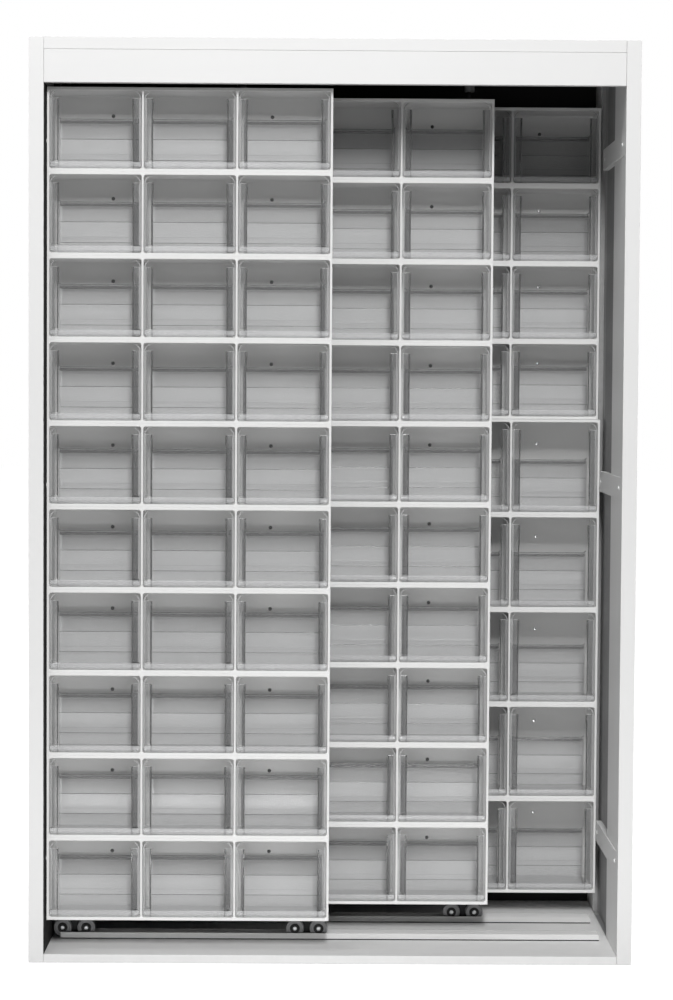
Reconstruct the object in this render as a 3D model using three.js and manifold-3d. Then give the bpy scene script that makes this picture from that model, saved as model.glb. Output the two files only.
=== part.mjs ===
// Tall open cabinet with three layers of tilting bins: a front and a middle carriage that slide sideways
// on wheels, and a fixed bank behind them.
// Millimetres, +Z up, front towards -Y, origin on the floor under the middle of the cabinet.

import * as THREE from "three";
import { mergeVertices } from "three/addons/utils/BufferGeometryUtils.js";
import Module from "manifold-3d";

const wasm = await Module();
wasm.setup();

// Housings: one housing is a row of three cells
const HOUSING_WIDTH = 600;
const COLUMN_NAMES = ["left", "centre", "right"];
const SMALL_ROW_HEIGHT = 176.2;
const LARGE_ROW_HEIGHT = 215.8;
const SMALL_DEPTH = 118;
const LARGE_DEPTH = 161;
const CARRIAGE_ROWS = 10;
const REAR_SMALL_ROWS = 4;
const REAR_LARGE_ROWS = 5;
const END_WALL = 5;
const DIVIDER = 4.5;
const BAND_HEIGHT = 12.5;
const HOUSING_BACK = 3;

// Bins: a clear front pane with a rounded heel, and a tray behind it
const BIN_WALL = 2;
const PANE_THICKNESS = 2.5;
const PANE_INSET = 1;
const BIN_SIDE_GAP = 1.2;
const BIN_TOP_GAP = 1.5;
const BIN_FLOOR_GAP = 1;
const BIN_BACK_GAP = 3;
const HEEL_RADIUS = 7;
const HEEL_COVER = 3;
const HEEL_STEPS = 3;
const TRAY_INSET = 17;
const TRAY_SIDE_DROP = 25;
const SMALL_REAR_DROP = 48;
const LARGE_REAR_DROP = 90;
const REAR_LEAN = 7;
const PIN_RADIUS = 2.5;
const PIN_SIDES = 6;
const PIN_DEPTH = 1.5;
const PIN_CLEARANCE = 0.6;
const PIN_END_CLEARANCE = 0.3;

// Cabinet boards
const SIDE_THICKNESS = 31;
const TOP_THICKNESS = 25;
const BASE_THICKNESS = 17.5;
const BACK_THICKNESS = 18;
const HEADER_HEIGHT = 73;
const HEADER_THICKNESS = 18;
const GROOVE_DEPTH = 10;
const GROOVE_WIDTH = 260;
const GROOVE_BEHIND_FRONT = 163;
const SIDE_BAR_HEIGHT = 46;
const SIDE_BAR_PROUD = 2.3;
const SIDE_BAR_END_BEHIND_FRONT = 361;
const SIDE_BAR_LEVELS = [215, 1010, 1732];
const SEAM = 0.3;

// How the layers stand in the cabinet
const FRONT_RECESS = 35;
const CARRIAGE_GAP = 27;
const REAR_BANK_GAP = 46;
const REAR_CENTRE_GAP = 10;
const REAR_END_GAP = 2;
const REAR_FLOOR_GAP = 52.5;
const CARRIAGE_END_GAP = 3;
const HEADER_GAP = 1;
const MIDDLE_REST_OFFSET = 46.5;

// Carriage frames
const FRAME_DEPTH = 30;
const UPRIGHT_WIDTH = 30;
const UPRIGHT_OFFSET = 170;
const BOTTOM_BEAM_HEIGHT = 22.1;
const TOP_BEAM_HEIGHT = 13;
const BEAM_END_INSET = 4;

// Wheels, their brackets and the floor channels
const WHEEL_RADIUS = 19.5;
const WHEEL_WIDTH = 16;
const WHEEL_SEGMENTS = 18;
const WHEEL_BORE_RADIUS = 4.8;
const WHEEL_EDGE = 1.5;
const AXLE_RADIUS = 4.2;
const AXLE_SIDES = 12;
const AXLE_PROUD = 0.5;
const WHEEL_TOP_GAP = 2;
const WHEEL_END_OFFSET = 21;
const WHEEL_SPACING = 51.5;
const BRACKET_THICKNESS = 4;
const BRACKET_SIDE_GAP = 0.6;
const BRACKET_DROP = 34;
const BRACKET_OVERHANG = 9;
const RAIL_BASE = 1.5;
const RAIL_LIP_HEIGHT = 14;
const RAIL_WALL = 2;
const RAIL_DEPTH = 40;
const RAIL_END_GAP = 21;

// Guide rollers and the channels they run in
const ROLLER_RADIUS = 11;
const ROLLER_HEIGHT = 24;
const ROLLER_SEGMENTS = 16;
const ROLLER_BORE_RADIUS = 4.6;
const ROLLER_PIN_RADIUS = 4;
const ROLLER_PIN_SIDES = 10;
const ROLLER_END_OFFSET = 47;
const ROLLER_LIFT = 14;
const ROLLER_PLATE_LENGTH = 60;
const ROLLER_PLATE_THICKNESS = 3;
const ROLLER_SIDE_GAP = 1;
const GUIDE_WALL = 2;
const GUIDE_DROP = 28;

// Worked out from the driving dimensions, in the cabinet's frame
const CELL_WIDTH = (HOUSING_WIDTH - 2 * END_WALL - (COLUMN_NAMES.length - 1) * DIVIDER) / COLUMN_NAMES.length;
const CARRIAGE_DEPTH = SMALL_DEPTH + FRAME_DEPTH;
const INNER_HALF_WIDTH = HOUSING_WIDTH + REAR_CENTRE_GAP / 2 + REAR_END_GAP;
const CABINET_HALF_WIDTH = INNER_HALF_WIDTH + SIDE_THICKNESS;
const CABINET_DEPTH =
  FRONT_RECESS + 2 * CARRIAGE_DEPTH + CARRIAGE_GAP + REAR_BANK_GAP + LARGE_DEPTH + SEAM + BACK_THICKNESS;
const FRONT_Y = -CABINET_DEPTH / 2;
const BACK_Y = CABINET_DEPTH / 2;
const FRONT_PLANE = FRONT_Y + FRONT_RECESS;
const MIDDLE_PLANE = FRONT_PLANE + CARRIAGE_DEPTH + CARRIAGE_GAP;
const REAR_PLANE = MIDDLE_PLANE + CARRIAGE_DEPTH + REAR_BANK_GAP;
const AXLE_Z = BASE_THICKNESS + SEAM + RAIL_BASE + SEAM + WHEEL_RADIUS;
const BEAM_Z = AXLE_Z + WHEEL_RADIUS + WHEEL_TOP_GAP;
const STACK_Z = BEAM_Z + BOTTOM_BEAM_HEIGHT + SEAM;
const STACK_TOP = STACK_Z + CARRIAGE_ROWS * SMALL_ROW_HEIGHT;
const HEADER_Z = STACK_TOP + HEADER_GAP;
const TOP_Z = HEADER_Z + HEADER_HEIGHT + SEAM;
const CABINET_HEIGHT = TOP_Z + TOP_THICKNESS;
const REAR_LOWER_Z = BASE_THICKNESS + REAR_FLOOR_GAP;
const REAR_UPPER_Z = REAR_LOWER_Z + REAR_LARGE_ROWS * LARGE_ROW_HEIGHT + SEAM;
const REAR_UPPER_PLANE = REAR_PLANE + LARGE_DEPTH - SMALL_DEPTH;
const FRAME_MIDDLE = SMALL_DEPTH + FRAME_DEPTH / 2;
const FRONT_REST_X = HOUSING_WIDTH / 2 + CARRIAGE_END_GAP - INNER_HALF_WIDTH;

// Finishes
function finish(color, roughness, metalness = 0) {
  return new THREE.MeshStandardMaterial({ color, roughness, metalness });
}
const LAMINATE = finish(0xe6e6e6, 0.5);
const WHITE_PLASTIC = finish(0xe2e2e0, 0.45);
const CLEAR_PLASTIC = finish(0xb9bcbe, 0.12);
const FRAME_STEEL = finish(0x3a3b3d, 0.5, 0.6);
const RAIL_STEEL = finish(0xd2d2d2, 0.4, 0.3);
const WHEEL_NYLON = finish(0x9c9d9f, 0.45);
CLEAR_PLASTIC.transparent = true;
CLEAR_PLASTIC.opacity = 0.35;

// A box between two values on each axis, with exactly those corners
function box([x0, x1], [y0, y1], [z0, z1]) {
  const geometry = new THREE.BoxGeometry(1, 1, 1);
  const place = geometry.getAttribute("position");
  for (let i = 0; i < place.count; i++) {
    place.setXYZ(i, place.getX(i) < 0 ? x0 : x1, place.getY(i) < 0 ? y0 : y1, place.getZ(i) < 0 ? z0 : z1);
  }
  return toSolid(geometry);
}

// A side view of (y, z) points carried along X
function prismAlongX(points, x0, x1) {
  const shape = new THREE.Shape(points.map(([y, z]) => new THREE.Vector2(y, z)));
  const geometry = new THREE.ExtrudeGeometry(shape, { depth: x1 - x0, bevelEnabled: false });
  const turn = new THREE.Matrix4().set(0, 0, 1, x0, 1, 0, 0, 0, 0, 1, 0, 0, 0, 0, 0, 1);
  return toSolid(geometry.applyMatrix4(turn));
}

// A round bar along X, Y or Z between two values on that axis, centred on the other two
function bar(axis, radius, sides, from, to, centre) {
  const geometry = new THREE.CylinderGeometry(radius, radius, to - from, sides);
  if (axis === "x") geometry.rotateZ(-Math.PI / 2);
  if (axis === "z") geometry.rotateX(Math.PI / 2);
  const middle = new THREE.Vector3(...centre);
  middle[axis] = (from + to) / 2;
  return toSolid(geometry.translate(middle.x, middle.y, middle.z));
}

// A three.js geometry as a solid that can be joined and cut
function toSolid(geometry) {
  geometry.deleteAttribute("normal");
  geometry.deleteAttribute("uv");
  const merged = mergeVertices(geometry);
  const vertProperties = new Float32Array(merged.getAttribute("position").array);
  const triVerts = new Uint32Array(merged.getIndex().array);
  return new wasm.Manifold(new wasm.Mesh({ numProp: 3, vertProperties, triVerts }));
}

const join = (solids) => solids.reduce((whole, piece) => whole.add(piece));
const cut = (solid, cutters) => cutters.reduce((whole, piece) => whole.subtract(piece), solid);

// A named mesh from a solid
function part(name, solid, material) {
  const { vertProperties, triVerts } = solid.getMesh();
  const geometry = new THREE.BufferGeometry();
  geometry.setAttribute("position", new THREE.BufferAttribute(vertProperties, 3));
  geometry.setIndex(new THREE.BufferAttribute(triVerts, 1));
  geometry.computeVertexNormals();
  const mesh = new THREE.Mesh(geometry, material);
  mesh.name = name;
  return mesh;
}

// A named mesh of a profile of (radius, height) points turned round Y or Z and closed on itself
function turnedPart(name, profile, segments, axis, material) {
  const points = [...profile, profile[0]].map(([r, h]) => new THREE.Vector2(r, h));
  const geometry = new THREE.LatheGeometry(points, segments);
  if (axis === "z") geometry.rotateX(Math.PI / 2);
  const mesh = new THREE.Mesh(geometry, material);
  mesh.name = name;
  return mesh;
}

// The rows of a stack, from the bottom, in the stack's own frame: y 0 at the housings' fronts
function rowsOf(kinds) {
  let bottom = 0;
  return kinds.map((kind) => {
    const row = { ...kind, bottom, top: bottom + kind.height, front: 0, back: kind.depth };
    bottom = row.top;
    return row;
  });
}

const SMALL_ROW = { height: SMALL_ROW_HEIGHT, depth: SMALL_DEPTH, rearDrop: SMALL_REAR_DROP };
const LARGE_ROW = { height: LARGE_ROW_HEIGHT, depth: LARGE_DEPTH, rearDrop: LARGE_REAR_DROP };
const CARRIAGE_STACK = rowsOf(Array(CARRIAGE_ROWS).fill(SMALL_ROW));
const REAR_LOWER_STACK = rowsOf(Array(REAR_LARGE_ROWS).fill(LARGE_ROW));
const REAR_UPPER_STACK = rowsOf(Array(REAR_SMALL_ROWS).fill(SMALL_ROW));

// The cells of a row: centre, floor level and clear size
function cellsOf(row) {
  return COLUMN_NAMES.map((column, i) => ({
    column,
    x: (i - (COLUMN_NAMES.length - 1) / 2) * (CELL_WIDTH + DIVIDER),
    z: row.bottom + BAND_HEIGHT / 2,
    height: row.height - BAND_HEIGHT,
    front: row.front,
    back: row.back - HOUSING_BACK,
    rearDrop: row.rearDrop,
  }));
}

// Where a bin turns, seen from the side
const pivotOf = (cell) => [cell.front + PANE_INSET + HEEL_RADIUS, cell.z + BIN_FLOOR_GAP + HEEL_RADIUS];

// A stack of housings: a block with its cells cut out
function housings(rows) {
  const half = HOUSING_WIDTH / 2;
  const blocks = rows.map((row) => box([-half, half], [row.front, row.back], [row.bottom, row.top]));
  const cells = rows.flatMap(cellsOf).map((cell) =>
    box(
      [cell.x - CELL_WIDTH / 2, cell.x + CELL_WIDTH / 2],
      [cell.front - PANE_INSET, cell.back],
      [cell.z, cell.z + cell.height]
    )
  );
  return cut(join(blocks), cells);
}

// The slots at both sides of each cell that take the bins' pivot pins from the front
function pivotSlots(rows) {
  const reach = PIN_RADIUS + PIN_CLEARANCE;
  const depth = PIN_DEPTH + PIN_END_CLEARANCE;
  return rows.flatMap(cellsOf).flatMap((cell) => {
    const [y, z] = pivotOf(cell);
    return [-1, 1].map((side) => {
      const wall = cell.x + (side * CELL_WIDTH) / 2;
      const ends = [wall - side * BIN_SIDE_GAP, wall + side * depth].sort((a, b) => a - b);
      return box(ends, [cell.front - PANE_INSET, y + reach], [z - reach, z + reach]);
    });
  });
}

// Points of the heel's quarter round about the pivot, from the front face down to the floor
function heelArc([y, z], radius, steps) {
  return Array.from({ length: steps + 1 }, (_, i) => {
    const angle = Math.PI + ((Math.PI / 2) * i) / steps;
    return [y + radius * Math.cos(angle), z + radius * Math.sin(angle)];
  });
}

// A bin's levels and depths, seen from the side
function binMeasures(cell) {
  const [pivotY, pivotZ] = pivotOf(cell);
  const face = cell.front + PANE_INSET;
  return {
    face,
    faceBack: face + PANE_THICKNESS,
    heelBack: pivotY + HEEL_COVER,
    heelTop: pivotZ + HEEL_COVER,
    rear: cell.back - BIN_BACK_GAP,
    floor: cell.z + BIN_FLOOR_GAP,
    paneTop: cell.z + cell.height - BIN_TOP_GAP,
    sideTop: cell.z + cell.height - TRAY_SIDE_DROP,
    rearTop: cell.z + cell.height - cell.rearDrop,
    paneHalf: CELL_WIDTH / 2 - BIN_SIDE_GAP,
    trayHalf: CELL_WIDTH / 2 - TRAY_INSET,
  };
}

// The open tray behind a bin's pane; toe holds the points of its lower front edge
function tray(cell, toe) {
  const { faceBack, rear, floor, paneTop, sideTop, rearTop, trayHalf } = binMeasures(cell);
  const outside = prismAlongX(
    [...toe, [rear, floor], [rear - REAR_LEAN, rearTop], [faceBack, sideTop]],
    cell.x - trayHalf,
    cell.x + trayHalf
  );
  const rearInside = (z) => rear - BIN_WALL - (REAR_LEAN * (z - floor)) / (rearTop - floor);
  const bed = floor + BIN_WALL;
  const hollow = prismAlongX(
    [[faceBack, bed], [rearInside(bed), bed], [rearInside(paneTop), paneTop], [faceBack, paneTop]],
    cell.x - trayHalf + BIN_WALL,
    cell.x + trayHalf - BIN_WALL
  );
  return outside.subtract(hollow);
}

// A bin that turns: a pane with a round heel about the pivot, pins at the heel's ends, and the tray
function hingedBin(cell) {
  const pivot = pivotOf(cell);
  const { face, faceBack, heelBack, heelTop, floor, paneTop, paneHalf } = binMeasures(cell);
  const heel = heelArc(pivot, HEEL_RADIUS, HEEL_STEPS);
  const pane = prismAlongX(
    [
      [face, paneTop],
      ...heel,
      [heelBack, floor],
      [heelBack, heelTop],
      [faceBack, heelTop],
      [faceBack, paneTop],
    ],
    cell.x - paneHalf,
    cell.x + paneHalf
  );
  const pins = [-1, 1].map((side) => {
    const root = cell.x + side * (paneHalf - PIN_DEPTH);
    const tip = cell.x + side * (CELL_WIDTH / 2 + PIN_DEPTH);
    const [from, to] = [root, tip].sort((a, b) => a - b);
    return bar("x", PIN_RADIUS, PIN_SIDES, from, to, [0, ...pivot]);
  });
  return join([pane, tray(cell, [[faceBack, pivot[1]], [heelBack, floor]]), ...pins]);
}

// A bin that stays shut: the foot of its plain pane runs into the housing at both sides
function shutBin(cell) {
  const { face, faceBack, heelTop, floor, paneTop, paneHalf } = binMeasures(cell);
  const half = CELL_WIDTH / 2 + PIN_DEPTH;
  const pane = box([cell.x - paneHalf, cell.x + paneHalf], [face, faceBack], [floor, paneTop]);
  const foot = box([cell.x - half, cell.x + half], [face, faceBack], [floor, heelTop]);
  return join([pane, foot, tray(cell, [[faceBack, floor]])]);
}

// A stack of housings with all its bins shut
const shutBank = (rows) => join([housings(rows), ...rows.flatMap(cellsOf).map(shutBin)]);

// Where a carriage's wheels and guide rollers stand along it
const carriageEnd = HOUSING_WIDTH / 2;
const WHEEL_PLACES = [
  ["outer_left", -carriageEnd + WHEEL_END_OFFSET],
  ["inner_left", -carriageEnd + WHEEL_END_OFFSET + WHEEL_SPACING],
  ["inner_right", carriageEnd - WHEEL_END_OFFSET - WHEEL_SPACING],
  ["outer_right", carriageEnd - WHEEL_END_OFFSET],
];
const ROLLER_PLACES = [
  ["left", -carriageEnd + ROLLER_END_OFFSET],
  ["right", carriageEnd - ROLLER_END_OFFSET],
];
const ROLLER_Z = STACK_TOP + SEAM + TOP_BEAM_HEIGHT + ROLLER_PLATE_THICKNESS + ROLLER_LIFT;

// A carriage's welded frame: uprights, beams, wheel brackets with axles, roller plates with pins
function carriageFrame() {
  const frameY = [SMALL_DEPTH + SEAM, CARRIAGE_DEPTH];
  const beamX = [BEAM_END_INSET - carriageEnd, carriageEnd - BEAM_END_INSET];
  const beamTop = BEAM_Z + BOTTOM_BEAM_HEIGHT;
  const topBeam = [STACK_TOP + SEAM, STACK_TOP + SEAM + TOP_BEAM_HEIGHT];
  const uprights = [-UPRIGHT_OFFSET, UPRIGHT_OFFSET].map((x) =>
    box([x - UPRIGHT_WIDTH / 2, x + UPRIGHT_WIDTH / 2], frameY, [beamTop, topBeam[0]])
  );
  const beams = [box(beamX, frameY, [BEAM_Z, beamTop]), box(beamX, frameY, topBeam)];
  const wheelBack = FRAME_MIDDLE + WHEEL_WIDTH / 2 + BRACKET_SIDE_GAP;
  const bracketY = [wheelBack, wheelBack + BRACKET_THICKNESS];
  const brackets = [WHEEL_PLACES.slice(0, 2), WHEEL_PLACES.slice(2)].map(([[, first], [, second]]) =>
    box([first - BRACKET_OVERHANG, second + BRACKET_OVERHANG], bracketY, [BEAM_Z - BRACKET_DROP, beamTop])
  );
  const axleFront = FRAME_MIDDLE - WHEEL_WIDTH / 2 - AXLE_PROUD;
  const axles = WHEEL_PLACES.map(([, x]) =>
    bar("y", AXLE_RADIUS, AXLE_SIDES, axleFront, bracketY[1], [x, 0, AXLE_Z])
  );
  const rollers = ROLLER_PLACES.flatMap(([, x]) => [
    box(
      [x - ROLLER_PLATE_LENGTH / 2, x + ROLLER_PLATE_LENGTH / 2],
      frameY,
      [topBeam[1], topBeam[1] + ROLLER_PLATE_THICKNESS]
    ),
    bar("z", ROLLER_PIN_RADIUS, ROLLER_PIN_SIDES, topBeam[0], ROLLER_Z + ROLLER_HEIGHT, [x, FRAME_MIDDLE, 0]),
  ]);
  return join([...beams, ...uprights, ...brackets, ...axles, ...rollers]);
}

// A wheel with a plain bore and an eased front edge
const WHEEL_PROFILE = [
  [WHEEL_BORE_RADIUS, WHEEL_WIDTH / 2],
  [WHEEL_BORE_RADIUS, -WHEEL_WIDTH / 2],
  [WHEEL_RADIUS - WHEEL_EDGE, -WHEEL_WIDTH / 2],
  [WHEEL_RADIUS, WHEEL_EDGE - WHEEL_WIDTH / 2],
  [WHEEL_RADIUS, WHEEL_WIDTH / 2],
];

function wheel(name, x) {
  const mesh = turnedPart(name, WHEEL_PROFILE, WHEEL_SEGMENTS, "y", WHEEL_NYLON);
  mesh.position.set(x, FRAME_MIDDLE, AXLE_Z);
  return mesh;
}

const ROLLER_PROFILE = [
  [ROLLER_BORE_RADIUS, ROLLER_HEIGHT],
  [ROLLER_BORE_RADIUS, 0],
  [ROLLER_RADIUS, 0],
  [ROLLER_RADIUS, ROLLER_HEIGHT],
];

function guideRoller(name, x) {
  const mesh = turnedPart(name, ROLLER_PROFILE, ROLLER_SEGMENTS, "z", WHEEL_NYLON);
  mesh.position.set(x, FRAME_MIDDLE, ROLLER_Z);
  return mesh;
}

// A carriage: its frame, wheels and rollers, placed along its channel
function carriage(name, restX, plane) {
  const group = new THREE.Group();
  group.position.set(restX, plane, 0);
  group.add(part(`${name}_carriage_frame`, carriageFrame(), FRAME_STEEL));
  WHEEL_PLACES.forEach(([place, x]) => group.add(wheel(`${name}_wheel_${place}`, x)));
  ROLLER_PLACES.forEach(([place, x]) => group.add(guideRoller(`${name}_guide_roller_${place}`, x)));
  return group;
}

// The front carriage's housings, and each of its bins as a piece that turns
function frontStack() {
  const group = new THREE.Group();
  group.position.z = STACK_Z;
  group.add(part("front_housings", cut(housings(CARRIAGE_STACK), pivotSlots(CARRIAGE_STACK)), WHITE_PLASTIC));
  CARRIAGE_STACK.toReversed().forEach((row, i) => {
    const number = String(i + 1).padStart(2, "0");
    cellsOf(row).forEach((cell) => {
      group.add(part(`front_bin_${number}_${cell.column}`, hingedBin(cell), CLEAR_PLASTIC));
    });
  });
  return group;
}

// A bank whose bins stay shut
function bank(name, rows, x, y, z) {
  const mesh = part(name, shutBank(rows), WHITE_PLASTIC);
  mesh.position.set(x, y, z);
  return mesh;
}

// A side board with a groove and flat bars on its inner face; side is -1 at the left and 1 at the right
function sidePanel(side) {
  const span = (from, to) => [side * from, side * to].sort((a, b) => a - b);
  const grooveFloor = INNER_HALF_WIDTH + GROOVE_DEPTH;
  const grooveFront = FRONT_PLANE + GROOVE_BEHIND_FRONT;
  const board = box(span(INNER_HALF_WIDTH, CABINET_HALF_WIDTH), [FRONT_Y, BACK_Y], [0, CABINET_HEIGHT]);
  const groove = box(
    span(INNER_HALF_WIDTH - SIDE_BAR_PROUD, grooveFloor),
    [grooveFront, grooveFront + GROOVE_WIDTH],
    [BASE_THICKNESS, TOP_Z]
  );
  const barX = span(INNER_HALF_WIDTH - SIDE_BAR_PROUD, grooveFloor + SEAM);
  const barY = [FRONT_Y + HEADER_THICKNESS, FRONT_PLANE + SIDE_BAR_END_BEHIND_FRONT];
  const bars = SIDE_BAR_LEVELS.map((level) =>
    box(barX, barY, [level - SIDE_BAR_HEIGHT / 2, level + SIDE_BAR_HEIGHT / 2])
  );
  return join([board.subtract(groove), ...bars]);
}

// A floor channel open upwards, under a carriage's wheels
function floorRail(plane) {
  const middle = plane + FRAME_MIDDLE;
  const half = RAIL_DEPTH / 2;
  const foot = BASE_THICKNESS + SEAM;
  const bed = foot + RAIL_BASE;
  const lip = foot + RAIL_LIP_HEIGHT;
  const section = [
    [middle - half, foot],
    [middle + half, foot],
    [middle + half, lip],
    [middle + half - RAIL_WALL, lip],
    [middle + half - RAIL_WALL, bed],
    [middle - half + RAIL_WALL, bed],
    [middle - half + RAIL_WALL, lip],
    [middle - half, lip],
  ];
  const end = INNER_HALF_WIDTH - RAIL_END_GAP;
  return prismAlongX(section, -end, end);
}

// A guide channel open downwards, over a carriage's rollers
function topGuide(plane) {
  const middle = plane + FRAME_MIDDLE;
  const inside = ROLLER_RADIUS + ROLLER_SIDE_GAP;
  const outside = inside + GUIDE_WALL;
  const top = TOP_Z - SEAM;
  const bed = top - GUIDE_WALL;
  const lip = top - GUIDE_DROP;
  const section = [
    [middle - outside, lip],
    [middle - inside, lip],
    [middle - inside, bed],
    [middle + inside, bed],
    [middle + inside, lip],
    [middle + outside, lip],
    [middle + outside, top],
    [middle - outside, top],
  ];
  const end = INNER_HALF_WIDTH - RAIL_END_GAP;
  return prismAlongX(section, -end, end);
}

// The cabinet's boards, channels and rear bank
function cabinet() {
  const group = new THREE.Group();
  const between = [SEAM - INNER_HALF_WIDTH, INNER_HALF_WIDTH - SEAM];
  const backFace = BACK_Y - BACK_THICKNESS;
  const rearCentre = REAR_CENTRE_GAP / 2 + HOUSING_WIDTH / 2;
  group.add(
    part("left_side_panel", sidePanel(-1), LAMINATE),
    part("right_side_panel", sidePanel(1), LAMINATE),
    part("base_panel", box(between, [FRONT_Y, BACK_Y], [0, BASE_THICKNESS]), LAMINATE),
    part("top_panel", box(between, [FRONT_Y, BACK_Y], [TOP_Z, CABINET_HEIGHT]), LAMINATE),
    part(
      "header_panel",
      box(between, [FRONT_Y, FRONT_Y + HEADER_THICKNESS], [HEADER_Z, TOP_Z - SEAM]),
      LAMINATE
    ),
    part("back_panel", box(between, [backFace, BACK_Y], [BASE_THICKNESS + SEAM, TOP_Z - SEAM]), LAMINATE),
    part("front_floor_rail", floorRail(FRONT_PLANE), RAIL_STEEL),
    part("middle_floor_rail", floorRail(MIDDLE_PLANE), RAIL_STEEL),
    part("front_top_guide", topGuide(FRONT_PLANE), RAIL_STEEL),
    part("middle_top_guide", topGuide(MIDDLE_PLANE), RAIL_STEEL)
  );
  [["left", -rearCentre], ["right", rearCentre]].forEach(([side, x]) =>
    group.add(
      bank(`rear_${side}_lower_bank`, REAR_LOWER_STACK, x, REAR_PLANE, REAR_LOWER_Z),
      bank(`rear_${side}_upper_bank`, REAR_UPPER_STACK, x, REAR_UPPER_PLANE, REAR_UPPER_Z)
    )
  );
  return group;
}

const frontCarriage = carriage("front", FRONT_REST_X, FRONT_PLANE);
frontCarriage.add(frontStack());

const middleCarriage = carriage("middle", MIDDLE_REST_OFFSET, MIDDLE_PLANE);
middleCarriage.add(bank("middle_bank", CARRIAGE_STACK, 0, 0, STACK_Z));

const binCabinet = new THREE.Group();
binCabinet.add(cabinet(), frontCarriage, middleCarriage);

export default binCabinet;
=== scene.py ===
"""A tall cabinet of clear tilting bins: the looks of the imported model, laid out as a Blender add-on.

Lengths are in metres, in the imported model's frame: X to the right seen from the front, Y back, Z up.
"""

import math

import bmesh
import bpy
import numpy as np
from bpy.props import FloatProperty, FloatVectorProperty, PointerProperty
from mathutils import Matrix, Vector


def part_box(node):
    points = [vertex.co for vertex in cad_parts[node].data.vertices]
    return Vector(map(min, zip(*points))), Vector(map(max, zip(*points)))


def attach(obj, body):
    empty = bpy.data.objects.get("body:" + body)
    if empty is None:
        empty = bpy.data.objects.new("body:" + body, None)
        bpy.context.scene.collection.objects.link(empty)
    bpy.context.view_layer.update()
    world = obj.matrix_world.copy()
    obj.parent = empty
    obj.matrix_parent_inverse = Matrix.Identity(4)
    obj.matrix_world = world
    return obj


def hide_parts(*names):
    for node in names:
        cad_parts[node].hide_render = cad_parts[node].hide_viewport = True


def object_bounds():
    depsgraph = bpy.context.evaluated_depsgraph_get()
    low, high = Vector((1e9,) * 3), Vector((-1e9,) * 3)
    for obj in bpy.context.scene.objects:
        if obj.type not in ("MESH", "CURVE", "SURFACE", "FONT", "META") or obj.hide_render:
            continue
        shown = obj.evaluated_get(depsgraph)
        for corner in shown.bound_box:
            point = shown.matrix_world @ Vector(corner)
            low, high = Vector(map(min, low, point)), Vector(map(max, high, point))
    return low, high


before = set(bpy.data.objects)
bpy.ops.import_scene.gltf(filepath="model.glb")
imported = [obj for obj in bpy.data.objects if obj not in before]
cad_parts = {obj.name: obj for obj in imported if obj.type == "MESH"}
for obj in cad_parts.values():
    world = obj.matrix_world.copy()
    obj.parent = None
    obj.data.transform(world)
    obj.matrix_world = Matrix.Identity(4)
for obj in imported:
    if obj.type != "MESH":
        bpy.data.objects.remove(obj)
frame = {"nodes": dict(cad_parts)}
CAD_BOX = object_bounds()

bl_info = {
    "name": "Cabinet of tilting bins",
    "version": (1, 0, 0),
    "blender": (4, 5, 0),
    "location": "3D View > Sidebar > Bin cabinet",
    "description": "Dresses the packed cabinet with boards, housings, bins, wheels and screws, in a studio",
    "category": "Object",
}

# The layers of housings: the node that holds a layer, the body that it rides on, and its number of rows
LAYERS = {
    "front": ("front_housings", "front_carriage", 10),
    "middle": ("middle_bank", "middle_carriage", 10),
    "rear_left_lower": ("rear_left_lower_bank", "cabinet", 5),
    "rear_left_upper": ("rear_left_upper_bank", "cabinet", 4),
    "rear_right_lower": ("rear_right_lower_bank", "cabinet", 5),
    "rear_right_upper": ("rear_right_upper_bank", "cabinet", 4),
}
CARRIAGES = ("front", "middle")
COLUMNS = ("left", "centre", "right")

# The layer whose bins tilt
TILTING = "front"

# A row higher than this holds large bins
LARGE_ROW = 0.2

# Housings: walls round the cells, and how their edges are eased
END_WALL = 0.005
DIVIDER = 0.0045
BAND = 0.0125
HOUSING_BACK = 0.003
CELL_CORNER = 0.005
CELL_EASE = 0.0009
HOUSING_EASE = 0.0005
BACK_FILLET = 0.003
RIM_DIGITS = 7

# Bins: clearances in the cell, and the heel that turns about the pivot
PANE_INSET = 0.001
PANE_THICKNESS = 0.0025
PANE_FOOT = 0.0135
SIDE_GAP = 0.0014
TOP_GAP = 0.0015
FLOOR_GAP = 0.001
REAR_GAP = 0.0035
HEEL_RADIUS = 0.007
HEEL_CORNER = 0.009

# Trays: walls, corners, the cut toe, and the lip with its two lines
TRAY_INSET = 0.017
TRAY_WALL = 0.002
TRAY_CORNER = 0.009
TRAY_END_BAND = 0.003
TRAY_FLARE = 0.009
TRAY_TOE = 0.0016
TRAY_LIP_STEP = 0.0013
TRAY_LIP_LINES = (0.0016, 0.0036)

# A tray's drops below the cell's top, its rear wall's lean, and its ribs as shares of that wall from the top
SIDE_DROP = 0.017
SMALL_REAR_DROP = 0.0495
LARGE_REAR_DROP = 0.0885
REAR_LEAN = 0.007
# Dark ribs are painted shade, and the first ends the rear wall's shaded band; the bright rib is a painted
# highlight
SHADE_RIBS = (0.38, 0.77)
HIGHLIGHT_RIBS = (0.66,)

# Quads round the sections: a pane's rim, a tray's lip, the paler line in it and the wall below it
# The rim gets a painted highlight; the lip, its paler line and the wall below it get painted shade
PANE_RIM_QUADS = (0, 2, 3, 7)
TRAY_LIP_QUADS = slice(1, 6)
TRAY_LINE_QUAD = 3
TRAY_UPPER_SHADE_QUAD = 6

# Wings beside a tray: dark clear sheets of painted shade
WING_BEHIND_PANE = 0.0006
WING_THICKNESS = 0.002
WING_OUTER_GAP = 0.0036
WING_LIFT = 0.016
WING_INNER_EDGE = 0.0010
WING_CAP = 0.0007

# Pivot lugs: the steps from neck to head as shares of the radius and the length, and the end's ease
LUG_STEPS = ((0, 0), (0.8, 0), (0.8, 0.45), (1, 0.5))
LUG_END_EASE = 0.0015

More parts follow.
